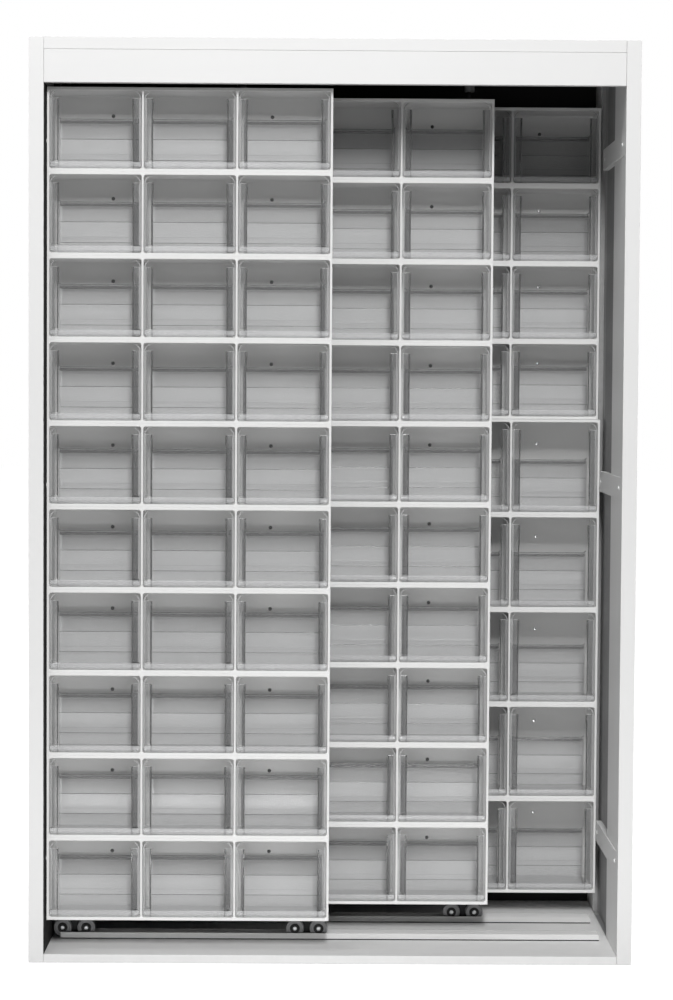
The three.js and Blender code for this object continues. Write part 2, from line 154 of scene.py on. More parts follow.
# Screws: their dome as shares of the radius and the height, from the middle out and into the surface
SCREW_RADIUS = 0.0042
SCREW_HEIGHT = 0.0022
SCREW_DOME = ((0, 1), (0.55, 0.92), (0.90, 0.60), (1, 0.12), (1, -0.2), (0, -0.2))

# Screws in a housing's back, from its middle and below its row's top, and in the back board
HOUSING_SCREW_OFFSET = 0.1703
SMALL_SCREW_DROP = 0.0485
LARGE_SCREW_DROP = 0.0585
BACK_SCREW_INSET = 0.02
BACK_SCREWS_ACROSS = 6
BACK_SCREWS_UP = 9

# Side walls: which way along X their inner faces look, the wide groove and the flat bars on these faces
SIDES = {"left": 1, "right": -1}
SIDE_THICKNESS = 0.031
GROOVE_DEPTH = 0.010
GROOVE_WIDTH = 0.260
GROOVE_BEHIND_FRONT = 0.198
# Width of the groove's front part, painted a darker grey as shade; behind it lies a paler grey of painted
# shade
GROOVE_SHADE_WIDTH = 0.218
BAR_LEVELS = (0.215, 1.010, 1.732)
BAR_HEIGHT = 0.046
BAR_FRONT = 0.018
BAR_BACK = 0.396
BAR_PROUD = 0.0023
BAR_TAPER = 0.03
BAR_SCREW_INSET = 0.022

# The gap that the header board leaves over the top row, as far as it is cut up above its solid's lower edge
HEADER_LIFT = 0.0043

# Painted shade: a black sheet on the wall beside the front layer, and a dark bead along a floor channel's
# foot
SHADE_SHEET_SIDE = "left"
SHADE_SHEET_THICKNESS = 0.0008
SHADE_SHEET_BEHIND_EDGE = 0.0012
SHADE_SHEET_WIDTH = 0.19
SHADE_BEAD_HEIGHT = 0.0020
SHADE_BEAD_PROUD = 0.0010

# Wheels: their places, bore, dished web and rounded tread, and the ease of the hub's edges
WHEEL_PLACES = ("outer_left", "inner_left", "inner_right", "outer_right")
WHEEL_BORE = 0.0048
WHEEL_DISH = 0.0018
WHEEL_ROUND = 0.0022
WHEEL_ROUND_SHARE = 0.3
TREAD_FOOT = 0.0042
TREAD_BROW = 0.0034
HUB_BORE_EASE = 0.0004
HUB_FACE_EASE = 0.0008
HUB_SIDE_EASE = 0.0006
HUB_DRAFT = 0.0002

# Caps on the axles, with their dome as shares of the radius and the height, and the guide rollers
AXLE_PROUD = 0.0005
CAP_RADIUS = 0.0046
CAP_HEIGHT = 0.0016
CAP_SKIRT = 0.0003
CAP_DOME = ((0, -1), (0.7, -0.8), (1, 0))
ROLLER_BORE = 0.0046
ROLLER_EASE = 0.0015

# How finely round shapes are divided, and how their faces are joined and shaded
CORNER_STEPS = 5
EDGE_STEPS = 3
ARC_STEPS = 7
WHEEL_SEGMENTS = 40
SCREW_SEGMENTS = 8
LUG_SEGMENTS = 10
SMOOTH_ANGLE = math.radians(24)
MERGE_DISTANCE = 2e-6
FLAT_FACE_WEIGHT = 100

# The quad round a slab that looks along -Y, which is the back board's inner face, painted near black as shade
BACK_SHADE_QUAD = 3 * EDGE_STEPS - 1

# Gloss of the matt white boards, housings and paint, and of the bins, as the shader's level of specular light
MATT_GLOSS = 0.2
CLEAR_GLOSS = 0.35

# Dust on the boards: how high it reaches, how much it covers, and its tone
DUST_HEIGHT = 0.12
DUST_COVER = 0.35
DUST_TONE = 0.72

# Rub marks on the channels: the noise where they start, how soon they are full, and how much they cover
RUB_START = 0.56
RUB_STEEPNESS = 7
RUB_COVER = 0.45

# Share of the level bands in the bins' streaks, and how many zinc crystals go to a metre
BAND_SHARE = 0.75
CRYSTAL_SCALE = 190.0

# Numbers of a bin's finishes, in the order of the clear ones in the table of finishes
# The rim finish paints highlights, the dense and wing ones paint shade, and the bed's paints light
CLEAR, TRAY, RIM_HIGHLIGHT, DENSE_SHADE, WING_SHADE, BED_LIGHT = range(6)

# Sockets of a Mix node that carry its factor, its two colours and its result
MIX_FACTOR, MIX_FIRST, MIX_SECOND, MIX_RESULT = 0, 6, 7, 2

# Floor: its reach and level, how far off its shadow has faded into white, and how deep the shadow may be
FLOOR_REACH = 30.0
FLOOR_LEVEL = -0.0005
FLOOR_FADE = 1.2
FLOOR_SHADE = 0.22
WHITE = (1, 1, 1, 1)

# Camera: width of its sensor in millimetres, and how far it sees
SENSOR_WIDTH = 36.0
CAMERA_REACH = 100.0

# Lamps: the setting that holds its power, where each stands, what it is turned to, its width and its height
LAMPS = {
    "key": ("key_power", (0.35, -7.2, 5.28), (0.0, 0.0, 0.95), 0.9, 2.5),
    "top": ("top_power", (-1.3, -1.3, 3.8), (0.3, -0.29, 1.0), 1.6, 1.6),
    "low": ("low_power", (0.0, -1.15, 0.03), (0.0, -0.29, 0.28), 1.6, 0.05),
    "back": ("back_power", (1.2, 6.0, 3.6), (0.0, 0.29, 0.95), 1.4, 1.6),
    "left": ("side_power", (-6.0, 1.1, 3.2), (-0.64, 0.0, 0.95), 1.4, 1.6),
    "right": ("side_power", (6.0, 1.1, 3.2), (0.64, 0.0, 0.95), 1.4, 1.6),
}


def length_setting(name, description, default):
    return FloatProperty(name=name, description=description, default=default, unit="LENGTH", precision=4)


def colour_setting(name, description, *default):
    return FloatVectorProperty(
        name=name, description=description, default=default, subtype="COLOR", size=3, min=0, max=1
    )


def angle_setting(name, description, default):
    return FloatProperty(name=name, description=description, default=default, subtype="ANGLE")


def power_setting(name, description, default):
    return FloatProperty(name=name, description=description, default=default, unit="POWER", min=0)


class CabinetSizes(bpy.types.PropertyGroup):
    """Small sizes of the boards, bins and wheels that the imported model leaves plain."""

    board_edge: length_setting("Board edge", "Radius of the boards' eased edges", 0.0009)
    pane_corner: length_setting("Pane corner", "Radius of a bin front's upper corners", 0.017)
    pane_rim: length_setting("Pane rim", "Width of the bevel round a bin's front", 0.0019)
    tray_lip: length_setting("Tray lip", "Height of the lip along a tray's upper edge", 0.0085)
    rib_radius: length_setting("Rib", "Radius of the ribs across a tray's rear wall", 0.0005)
    wing_highlight_edge: length_setting("Wing edge", "Radius of the bright outer edge of a bin's side wing", 0.0012)
    lug_radius: length_setting("Pivot lug", "Radius of the round lugs that a bin turns on", 0.0052)
    hub_radius: length_setting("Wheel hub", "Radius of the dark hub of a wheel", 0.0105)


class CabinetColours(bpy.types.PropertyGroup):
    """Colours of the finishes."""

    laminate: colour_setting("Laminate", "White board", 0.80, 0.80, 0.797)
    housing: colour_setting("Housing", "White plastic", 0.80, 0.80, 0.795)
    clear: colour_setting("Clear plastic", "Tint of the bins", 0.62, 0.625, 0.63)
    channel: colour_setting("Channels", "Powder coat of the rails", 0.62, 0.62, 0.617)
    zinc: colour_setting("Zinc", "Plated steel", 0.56, 0.57, 0.58)
    # Inside: near black painted shade on the back board's inner face, for the dark depths of the cabinet
    inside: colour_setting("Back inside", "Dark inner face of the back", 0.012, 0.012, 0.012)
    # The grooves' two greys are painted shade: the darker one in their front part, the paler one behind
    groove_back: colour_setting("Groove back", "Pale rear part of the side walls' grooves", 0.42, 0.42, 0.42)
    # Frames: near black paint, dark also as painted shade round the carriages
    frame: colour_setting("Frames", "Dark paint of the carriage frames", 0.016, 0.016, 0.017)
    lining: colour_setting("Lining", "Grey lining of the grooves in the side walls", 0.29, 0.29, 0.292)
    wheel: colour_setting("Wheel", "Grey nylon", 0.26, 0.26, 0.265)
    # Dark parts also paint shade: the black sheet on a side wall and the bead along the channels' feet
    dark: colour_setting("Dark parts", "Hubs, felt, seals and black screws", 0.012, 0.012, 0.012)
    floor: colour_setting("Floor", "Pale studio floor", 0.35, 0.35, 0.35)


class StudioSettings(bpy.types.PropertyGroup):
    """Camera and light."""

    camera_place: FloatVectorProperty(
        name="Camera", description="Where the camera stands", default=(-0.0245, -5.4623, 1.2268),
        subtype="TRANSLATION", unit="LENGTH", size=3,
    )
    camera_yaw: angle_setting("Yaw", "Turn to the left, seen from above", -0.0062)
    camera_pitch: angle_setting("Pitch", "Tilt upwards", -0.0471)
    camera_roll: angle_setting("Roll", "Roll about the line of sight", -0.0061)
    camera_lens: FloatProperty(name="Lens", description="Focal length", default=88.80, unit="CAMERA", min=1)
    key_power: power_setting("Key light", "Power of the far lamp above the camera", 511)
    top_power: power_setting("Top light", "Power of the lamp high up on the left", 27)
    low_power: power_setting("Low light", "Power of the strip lamp near the floor", 3.7)
    back_power: power_setting("Back light", "Power of the lamp behind the cabinet", 175)
    side_power: power_setting("Side lights", "Power of the lamps on both sides", 150)
    sky: FloatProperty(name="Sky", description="Strength of the even light all round", default=0.015, min=0)


class Skin:
    """Rings of points gathered into one mesh. Each quad carries the number of its finish."""

    def __init__(self):
        self.points = []
        self.quads = []
        self.finishes = []
        self.total = 0

    def add(self, rings, finish=0):
        """Joins each ring of points to the next one by quads, all the way round."""
        count, around, _ = rings.shape
        index = self.total + np.arange(count * around).reshape(count, around)
        index = np.hstack((index, index[:, :1]))
        quads = np.stack((index[:-1, :-1], index[:-1, 1:], index[1:, 1:], index[1:, :-1]), axis=-1)
        self.points.append(rings.reshape(-1, 3))
        self.quads.append(quads.reshape(-1, 4))
        self.finishes.append(np.broadcast_to(finish, quads.shape[:2]).ravel())
        self.total += count * around
        return self


def make_piece(name, skin, materials, body, stands_for=()):
    """Turns a skin into a mesh object with merged seams and outward faces, and lets it ride on a body."""
    mesh = bpy.data.meshes.new(name)
    mesh.from_pydata(np.concatenate(skin.points).tolist(), [], np.concatenate(skin.quads).tolist())
    mesh.polygons.foreach_set("material_index", np.concatenate(skin.finishes).astype(np.int32))
    for material in materials:
        mesh.materials.append(material)
    shape = bmesh.new()
    shape.from_mesh(mesh)
    bmesh.ops.remove_doubles(shape, verts=shape.verts, dist=MERGE_DISTANCE)
    bmesh.ops.dissolve_degenerate(shape, edges=shape.edges, dist=MERGE_DISTANCE)
    bmesh.ops.recalc_face_normals(shape, faces=shape.faces)
    shape.to_mesh(mesh)
    shape.free()
    mesh.shade_smooth()
    mesh.set_sharp_from_angle(angle=SMOOTH_ANGLE)
    piece = bpy.data.objects.new(name, mesh)
    bpy.context.scene.collection.objects.link(piece)
    weights = piece.modifiers.new("flat_faces_stay_flat", "WEIGHTED_NORMAL")
    weights.weight = FLAT_FACE_WEIGHT
    weights.keep_sharp = True
    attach(piece, body)
    if stands_for:
        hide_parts(*stands_for)


def box_of(node):
    """A node's lowest and highest corner as arrays."""
    low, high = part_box(node)
    return np.array(low), np.array(high)


def capped(loops):
    """Closes both ends of a carried loop: the middle of its first and of its last loop become end rows."""
    first = np.broadcast_to(loops[0].mean(axis=0), loops[:1].shape)
    last = np.broadcast_to(loops[-1].mean(axis=0), loops[-1:].shape)
    return np.concatenate((first, loops, last))


def corner_turns(steps):
    """Angles of four quarter circles in turn, with the sign of each one's corner across and up."""
    quarter = np.linspace(0, math.pi / 2, steps)
    turns = (quarter + np.arange(4)[:, None] * math.pi / 2).ravel()
    return turns, np.repeat([1, -1, -1, 1], steps), np.repeat([1, 1, -1, -1], steps)


def corner_loop(half_across, half_up, radius, steps=CORNER_STEPS):
    """A rectangle with round corners: each is a quarter circle about a centre moved in by its radius."""
    turns, side, level = corner_turns(steps)
    across = side * (half_across - radius) + radius * np.cos(turns)
    up = level * (half_up - radius) + radius * np.sin(turns)
    return np.stack((across, up), axis=-1)


def eased_levels(low, high, edge):
    """Heights and insets that draw a carried loop in along a quarter circle at both ends."""
    quarter = np.linspace(0, math.pi / 2, EDGE_STEPS)
    inset = edge * (1 - np.sin(quarter))
    rise = edge * (1 - np.cos(quarter))
    levels = np.concatenate((low + rise, high - rise[::-1]))
    return levels[:, None], np.concatenate((inset, inset[::-1]))[:, None]


def slab(low, high, edge):
    """A board: a rectangle with round corners carried up Z, drawn in along a quarter circle at both ends."""
    low, high = np.asarray(low), np.asarray(high)
    half, middle = (high - low) / 2, (high + low) / 2
    levels, inset = eased_levels(low[2], high[2], edge)
    flat = corner_loop(half[0] - inset, half[1] - inset, edge - inset, EDGE_STEPS) + middle[:2]
    up = np.broadcast_to(levels, flat.shape[:2])
    return capped(np.concatenate((flat, up[..., None]), axis=-1))


def turned(profile, centre, axis, segments):
    """A profile of (radius, distance along the axis) turned once round an axis through centre."""
    radius, distance = np.asarray(profile, float).T[:, :, None]
    angle = np.linspace(0, 2 * math.pi, segments, endpoint=False)
    first, second = radius * np.cos(angle), radius * np.sin(angle)
    along = np.broadcast_to(distance, first.shape)
    order = {"x": (along, first, second), "y": (first, along, second), "z": (first, second, along)}[axis]
    return np.stack(order, axis=-1) + centre


def side_board(low, high, inner, groove, edge):
    """A board whose inner face has an upright groove: its plan carried up, stepped in between two levels.

    inner is 1 where the inner face looks along +X and -1 where it looks along -X. groove holds its front and
    back along Y and its lower and upper level. Between those levels the middle points of the plan move into
    the board. Also gives each quad's finish: 1, a darker grey of painted shade, in the groove's front part of
    its own width, and 2, a paler grey of painted shade, behind it.
    """
    front, back, bottom, top = groove
    half, middle = (high - low) / 2, (high + low) / 2
    levels, inset = eased_levels(low[2], high[2], edge)
    split = EDGE_STEPS
    levels = np.concatenate((levels[:split], [[bottom], [bottom], [top], [top]], levels[split:]))
    inset = np.concatenate((inset[:split], np.zeros((4, 1)), inset[split:]))
    depth = np.zeros(len(levels))
    depth[split + 1 : split + 3] = GROOVE_DEPTH
    loop = corner_loop(half[0] - inset, half[1] - inset, edge - inset, EDGE_STEPS)
    face = half[0] - inset[:, 0]
    places = np.array([front, front, front + GROOVE_SHADE_WIDTH, back, back]) - middle[1]
    steps = np.stack((face, face - depth, face - depth, face - depth, face), axis=-1)
    slot = np.stack((steps, np.broadcast_to(places, steps.shape)), axis=-1)
    plan = np.concatenate((loop, slot), axis=1) * (inner, 1) + middle[:2]
    up = np.broadcast_to(levels, plan.shape[:2])
    finish = np.zeros((len(levels) + 1, plan.shape[1]), int)
    finish[split + 1 : split + 4, 4 * EDGE_STEPS : 4 * EDGE_STEPS + 4] = (1, 1, 2, 2)
    return capped(np.concatenate((plan, up[..., None]), axis=-1)), finish


def standing(plans, depths):
    """Upright rings: plans of (x, z) points, each set at its own distance along Y."""
    return np.stack([np.insert(plan, 1, depth, axis=1) for plan, depth in zip(plans, depths)])


def cell_places(low, high):
    """Middles of a housing's three cells along X, and a cell's half width."""
    width = (high[0] - low[0] - 2 * END_WALL - (len(COLUMNS) - 1) * DIVIDER) / len(COLUMNS)
    steps = np.arange(len(COLUMNS)) - (len(COLUMNS) - 1) / 2
    return (low[0] + high[0]) / 2 + steps * (width + DIVIDER), width / 2


def housing(skin, low, high):
    """One white housing with three open cells.

    Each cell is a round-cornered loop carried back: from the flat front over an eased edge to the back wall.
    Its front face runs out to a rectangle, by pushing each corner's circle out to a square. The outer skin
    starts on the points of those rectangles, is eased outwards, and closes behind.
    """
    middles, half_width = cell_places(low, high)
    half_height = (high[2] - low[2] - BAND) / 2
    level = (low[2] + high[2]) / 2
    turns, side, up = corner_turns(CORNER_STEPS)
    square = np.maximum(np.abs(np.cos(turns)), np.abs(np.sin(turns)))
    front, back, rear = low[1], high[1] - HOUSING_BACK, high[1]
    joins = (middles[1:] + middles[:-1]) / 2
    bounds = np.concatenate(([low[0] + HOUSING_EASE], joins, [high[0] - HOUSING_EASE]))
    reach_up = half_height + BAND / 2 - HOUSING_EASE - (half_height - CELL_CORNER)
    rims = []
    for middle, left, right in zip(middles, bounds[:-1], bounds[1:]):
        reach = np.where(side > 0, right - middle, middle - left) - (half_width - CELL_CORNER)
        across = middle + side * (half_width - CELL_CORNER) + reach * np.cos(turns) / square
        height = level + up * (half_height - CELL_CORNER) + reach_up * np.sin(turns) / square
        rims.append(np.round(np.stack((across, height), axis=-1), RIM_DIGITS))
        mouth, wall, foot = (
            corner_loop(half_width + out, half_height + out, CELL_CORNER + out) + (middle, level)
            for out in (CELL_EASE, 0, -BACK_FILLET)
        )
        plans = (rims[-1], mouth, wall, wall, foot, np.full_like(foot, (middle, level)))
        skin.add(standing(plans, (front, front, front + CELL_EASE, back - BACK_FILLET, back, back)))
    edge = np.unique(np.concatenate(rims), axis=0)
    (x0, z0), (x1, z1) = edge.min(axis=0), edge.max(axis=0)
    top, bottom = edge[edge[:, 1] == z1], edge[edge[:, 1] == z0]
    inside = (edge[:, 1] > z0) & (edge[:, 1] < z1)
    right, left = edge[inside & (edge[:, 0] == x1)], edge[inside & (edge[:, 0] == x0)]
    loop = np.concatenate((top, right[::-1], bottom[::-1], left))
    out = loop + HOUSING_EASE * ((loop == (x1, z1)).astype(float) - (loop == (x0, z0)))
    plans = (loop, out, out, loop, np.full_like(loop, ((x0 + x1) / 2, level)))
    skin.add(standing(plans, (front, front + HOUSING_EASE, rear - HOUSING_EASE, rear, rear)))


def layer_rows(layer):
    """Lowest and highest corners of a layer's housings, from the top row down."""
    node, _, count = LAYERS[layer]
    low, high = box_of(node)
    pitch = (high[2] - low[2]) / count
    rows = []
    for number in range(count):
        top = high[2] - number * pitch
        rows.append((np.array((low[0], low[1], top - pitch)), np.array((high[0], high[1], top))))
    return rows


def is_large(low, high):
    """Whether a row of housings is one of the large rows."""
    return high[2] - low[2] > LARGE_ROW


def bin_pane(skin, sizes, middle, front, floor, top, half):
    """A bin's clear front: a thin sheet that runs down the face and round the heel.

    Each row is a closed loop of eight points: four on the outer face, and four on the inner one, a wall's
    thickness behind it along the sheet's normal. A row's half width follows a quarter circle at the upper
    corners, and again at the heel. The outermost points and the top are set back to make the bevelled rim,
    which carries a painted highlight.
    The pane's foot is less clear.
    """
    turn = np.linspace(0, math.pi / 2, ARC_STEPS)
    bend = np.concatenate((np.zeros(ARC_STEPS + 2), turn[1:]))
    normal_y, normal_z = -np.cos(bend), -np.sin(bend)
    pivot = floor + HEEL_RADIUS
    depths = front + HEEL_RADIUS * (1 + normal_y)
    heights = pivot + HEEL_RADIUS * normal_z
    heights[:ARC_STEPS] = top - sizes.pane_corner * (1 - np.cos(turn))
    heights[ARC_STEPS] = floor + PANE_FOOT
    below = np.clip(pivot - heights, 0, None) / HEEL_CORNER
    halves = half - HEEL_CORNER * (1 - np.sqrt(1 - below**2))
    halves[:ARC_STEPS] -= sizes.pane_corner * (1 - np.sin(turn))
    rim = sizes.pane_rim
    across = np.stack((-halves, rim - halves, halves - rim, halves), axis=-1)
    lowered = np.clip(1 - (top - heights) / rim, 0, 1)[:, None] * rim / 2
    set_back = np.maximum(np.array((rim / 2, 0, 0, rim / 2)), lowered)
    sheets = []
    for behind in (set_back, np.full_like(set_back, PANE_THICKNESS)):
        y = depths[:, None] - normal_y[:, None] * behind
        z = heights[:, None] - normal_z[:, None] * behind
        sheets.append(np.stack((middle + across, y, z), axis=-1))
    loops = np.concatenate((sheets[0], sheets[1][:, ::-1]), axis=1)
    finish = np.full((len(heights) + 1, loops.shape[1]), CLEAR)
    finish[:, PANE_RIM_QUADS] = RIM_HIGHLIGHT
    finish[ARC_STEPS + 1 :] = TRAY
    skin.add(capped(loops), finish)


def bin_tray(skin, sizes, middle, front, rear, floor, side_top, rear_top, half):
    """A bin's tray: a wall section with a thicker lip, carried along a U-shaped plan, and a floor between.

    The plan runs back along one side, round a corner, across the rear and forward again, and widens to the
    rear. The wall's top falls evenly from the front to the rear, and the higher a point stands, the further
    the rear leans to the front. The walls' front ends are cut up at the foot, to clear the housing when the
    bin tilts. Painted shade darkens the lip, with a paler line in it, the walls' front ends, the dark ribs
    and the rear wall down to its first rib; the bright rib is a painted highlight.
    """
    turn = np.concatenate(((0, 0), np.linspace(0, math.pi / 2, CORNER_STEPS)))
    normal_x, normal_y = np.cos(turn), np.sin(turn)
    plan_x = half - TRAY_CORNER * (1 - normal_x)
    plan_y = rear - TRAY_CORNER * (1 - normal_y)
    plan_y[:2] = (front, front + TRAY_END_BAND)
    plan_x, normal_x = (np.concatenate((-values, values[::-1])) for values in (plan_x, normal_x))
    plan_y, normal_y = (np.concatenate((values, values[::-1])) for values in (plan_y, normal_y))
    share = (plan_y - front) / (rear - front)
    top = side_top + (rear_top - side_top) * share
    lip = sizes.tray_lip
    inset = np.array((0, 0, *[TRAY_WALL + TRAY_LIP_STEP] * 4, *[TRAY_WALL] * 3))
    drop = np.array((np.nan, 0, 0, *TRAY_LIP_LINES, lip, lip + TRAY_LIP_STEP, np.nan, np.nan))
    foot = np.full(len(plan_x), floor)
    foot[[0, -1]] += TRAY_TOE
    height = np.where(np.isnan(drop), foot[:, None], top[:, None] - np.nan_to_num(drop))
    height[:, -2] = rear_top - SHADE_RIBS[0] * (rear_top - floor)
    lean = REAR_LEAN * share[:, None] * (height - floor) / (rear_top - floor)
    wide = plan_x + np.sign(plan_x) * TRAY_FLARE * share
    x = wide[:, None] - normal_x[:, None] * inset
    y = plan_y[:, None] - normal_y[:, None] * inset - lean
    finish = np.full((len(plan_x) + 1, len(drop)), TRAY)
    finish[:, TRAY_LIP_QUADS] = DENSE_SHADE
    finish[:, TRAY_LINE_QUAD] = WING_SHADE
    finish[(2, -3), :] = CLEAR
    finish[len(turn), TRAY_UPPER_SHADE_QUAD] = WING_SHADE
    finish[:2] = DENSE_SHADE
    finish[-2:] = DENSE_SHADE
    skin.add(capped(np.stack((middle + x, y, height), axis=-1)), finish)
    inner, narrow = half + TRAY_FLARE - TRAY_WALL, half - TRAY_WALL
    near, far = front + HEEL_RADIUS, rear - TRAY_WALL
    corners = np.array(((-narrow, near), (narrow, near), (inner, far), (-inner, far))) + (middle, 0)
    plates = [np.insert(corners, 2, level, axis=1) for level in (floor, floor + TRAY_WALL)]
    # The floor plate is paler, as painted light
    skin.add(capped(np.stack(plates)), BED_LIGHT)
    for rib_finish, ribs in ((DENSE_SHADE, SHADE_RIBS), (RIM_HIGHLIGHT, HIGHLIGHT_RIBS)):
        for share_down in ribs:
            level = rear_top - share_down * (rear_top - floor)
            face = far - REAR_LEAN * (level - floor) / (rear_top - floor)
            profile = ((sizes.rib_radius, -inner), (sizes.rib_radius, inner))
            skin.add(capped(turned(profile, (middle, face, level), "x", LUG_SEGMENTS)), rib_finish)


def bin_lugs(skin, sizes, middle, pivot_y, pivot_z, inner, outer):
    """The two round lugs at a bin's heel: a short stepped cylinder turned round X on each side."""
    radius = sizes.lug_radius
    steps = np.array(LUG_STEPS) * (radius, outer - inner) + (0, inner)
    ends = ((radius, outer - LUG_END_EASE), (radius - LUG_END_EASE, outer), (0, outer))
    for side in (-1, 1):
        profile = np.concatenate((steps, ends)) * (1, side)
        skin.add(turned(profile, (middle, pivot_y, pivot_z), "x", LUG_SEGMENTS), TRAY)


def bin_shade_wings(skin, sizes, middle, front, floor, top, inner, outer):
    """The two upright wings beside a bin's tray, painted shade: a flat board behind the pane between two
    round bars.

    The bars up its outer edge and on its top are painted highlights, the one up its inner edge painted shade.
    """
    depth = front + WING_THICKNESS / 2
    for side in (-1, 1):
        near, far = sorted((middle + side * inner, middle + side * outer))
        board = slab((near, front, floor), (far, front + WING_THICKNESS, top), WING_THICKNESS / 4)
        skin.add(board, WING_SHADE)
        for across, edge, edge_finish in ((outer, sizes.wing_highlight_edge, RIM_HIGHLIGHT), (inner, WING_INNER_EDGE, DENSE_SHADE)):
            bar = turned(((edge, floor), (edge, top)), (middle + side * across, depth, 0), "z", LUG_SEGMENTS)
            skin.add(capped(bar), edge_finish)
        cap = turned(((WING_CAP, near), (WING_CAP, far)), (0, depth, top), "x", LUG_SEGMENTS)
        skin.add(capped(cap), RIM_HIGHLIGHT)


def clear_bin(skin, sizes, low, high, middle, half_cell):
    """One clear tilting bin in its cell: pane, tray, lugs and wings of painted shade."""
    cell_floor, cell_top = low[2] + BAND / 2, high[2] - BAND / 2
    face = low[1] + PANE_INSET
    behind = face + PANE_THICKNESS
    floor = cell_floor + FLOOR_GAP
    rear = high[1] - HOUSING_BACK - REAR_GAP
    half = half_cell - SIDE_GAP
    tray_half = half_cell - TRAY_INSET
    side_top = cell_top - SIDE_DROP
    rear_top = cell_top - (LARGE_REAR_DROP if is_large(low, high) else SMALL_REAR_DROP)
    bin_pane(skin, sizes, middle, face, floor, cell_top - TOP_GAP, half)
    bin_tray(skin, sizes, middle, behind, rear, floor, side_top, rear_top, tray_half)
    bin_lugs(skin, sizes, middle, face + HEEL_RADIUS, floor + HEEL_RADIUS, tray_half, half)
    wing_front, wing_floor = behind + WING_BEHIND_PANE, floor + WING_LIFT
    bin_shade_wings(skin, sizes, middle, wing_front, wing_floor, side_top, tray_half, half - WING_OUTER_GAP)


def screw_head(skin, place, axis, facing, finish=0):
    """A pan-head screw: a low dome turned round the axis, its rim let into the surface."""
    profile = np.array(SCREW_DOME) * (SCREW_RADIUS, facing * SCREW_HEIGHT)
    skin.add(turned(profile, place, axis, SCREW_SEGMENTS), finish)


def maths(operation):
    """Two methods that join a wire and another value by a Math node: as written, and the other way round."""

    def written(wire, other):
        return wire.recipe.node("ShaderNodeMath", {0: wire, 1: other}, operation=operation)

    def reflected(wire, other):
        return wire.recipe.node("ShaderNodeMath", {0: other, 1: wire}, operation=operation)

    return written, reflected


class Wire:
    """A number on its way through a material. Python's operators on it add Math nodes."""

    def __init__(self, recipe, socket):
        self.recipe = recipe
        self.socket = socket

    __add__, __radd__ = maths("ADD")
    __sub__, __rsub__ = maths("SUBTRACT")
    __mul__, __rmul__ = maths("MULTIPLY")
    __truediv__, __rtruediv__ = maths("DIVIDE")
    above = maths("MAXIMUM")[0]
    below = maths("MINIMUM")[0]

    def size(self):
        return self.above(0.0 - self)


class Recipe:
    """One node tree in the making, of a material or of the world."""

    def __init__(self, owner):
        owner.use_nodes = True
        self.owner = owner
        self.tree = owner.node_tree
        self.tree.nodes.clear()

    def node(self, kind, sockets=None, output=0, **settings):
        """Adds a node, sets its settings and then its sockets' values or links, and gives one output."""
        made = self.tree.nodes.new(kind)
        for key, value in settings.items():
            setattr(made, key, value)
        for key, value in (sockets or {}).items():
            if isinstance(value, Wire):
                self.tree.links.new(value.socket, made.inputs[key])
            else:
                made.inputs[key].default_value = value
        return Wire(self, made.outputs[output]) if made.outputs else None

    def place(self, stretch=(1, 1, 1)):
        """The piece's own coordinates, stretched."""
        own = self.node("ShaderNodeTexCoord", output="Object")
        return self.node("ShaderNodeMapping", {"Vector": own, "Scale": stretch})

    def along(self, axis):
        """One of the piece's own coordinates."""
        return self.node("ShaderNodeSeparateXYZ", {0: self.place()}, axis)

    def noise(self, scale, detail, stretch=(1, 1, 1), rough=0.55):
        """Cloudy noise from 0 to 1 on the piece's own coordinates."""
        sockets = {"Vector": self.place(stretch), "Scale": scale, "Detail": detail, "Roughness": rough}
        return self.node("ShaderNodeTexNoise", sockets, "Fac")

    def mixed(self, factor, first, second):
        """Two colours mixed by a factor."""
        sockets = {MIX_FACTOR: factor, MIX_FIRST: first, MIX_SECOND: second}
        return self.node("ShaderNodeMix", sockets, MIX_RESULT, data_type="RGBA")

    def tones(self, factor, colour, dark, light):
        """One colour that runs by a factor from a dark to a light share of itself."""
        return self.mixed(factor, shade(colour, dark), shade(colour, light))

    def bump(self, height, depth, strength=0.5):
        """A normal pushed about by a height, which stands for a depth in metres."""
        sockets = {"Height": height, "Distance": depth, "Strength": strength}
        return self.node("ShaderNodeBump", sockets, "Normal")

    def finish(self, **sockets):
        """Closes a material with one Principled shader and gives the material."""
        named = {key.replace("_", " ").title().replace("Ior", "IOR"): value for key, value in sockets.items()}
        shader = self.node("ShaderNodeBsdfPrincipled", named)
        self.node("ShaderNodeOutputMaterial", {"Surface": shader})
        return self.owner

    def matt(self, colour, rough, texture, depth):
        """Closes a matt material, whose texture stands for a depth in metres."""
        normal = self.bump(texture, depth)
        return self.finish(base_color=colour, roughness=rough, specular_ior_level=MATT_GLOSS, normal=normal)


def shade(colour, share):
    """A colour made lighter or darker by a share, with full alpha."""
    return tuple(min(1.0, channel * share) for channel in colour) + (1.0,)


def white_laminate(recipe, colours):
    """Satin white board: a faint cloudiness, a fine pressed grain, and dust near the floor."""
    cloud = recipe.noise(scale=2.6, detail=4.0)
    grain = recipe.noise(scale=520.0, detail=2.0)
    low = (1 - recipe.along("Z") / DUST_HEIGHT).above(0.0)
    dust = low * recipe.noise(scale=34.0, detail=4.0) * DUST_COVER
    clean = recipe.tones(cloud, colours.laminate, dark=0.965, light=1.03)
    dusty = recipe.mixed(dust, clean, shade(colours.laminate, DUST_TONE))
    return recipe.matt(dusty, rough=0.40 + 0.14 * grain + 0.06 * cloud, texture=grain, depth=0.00012)


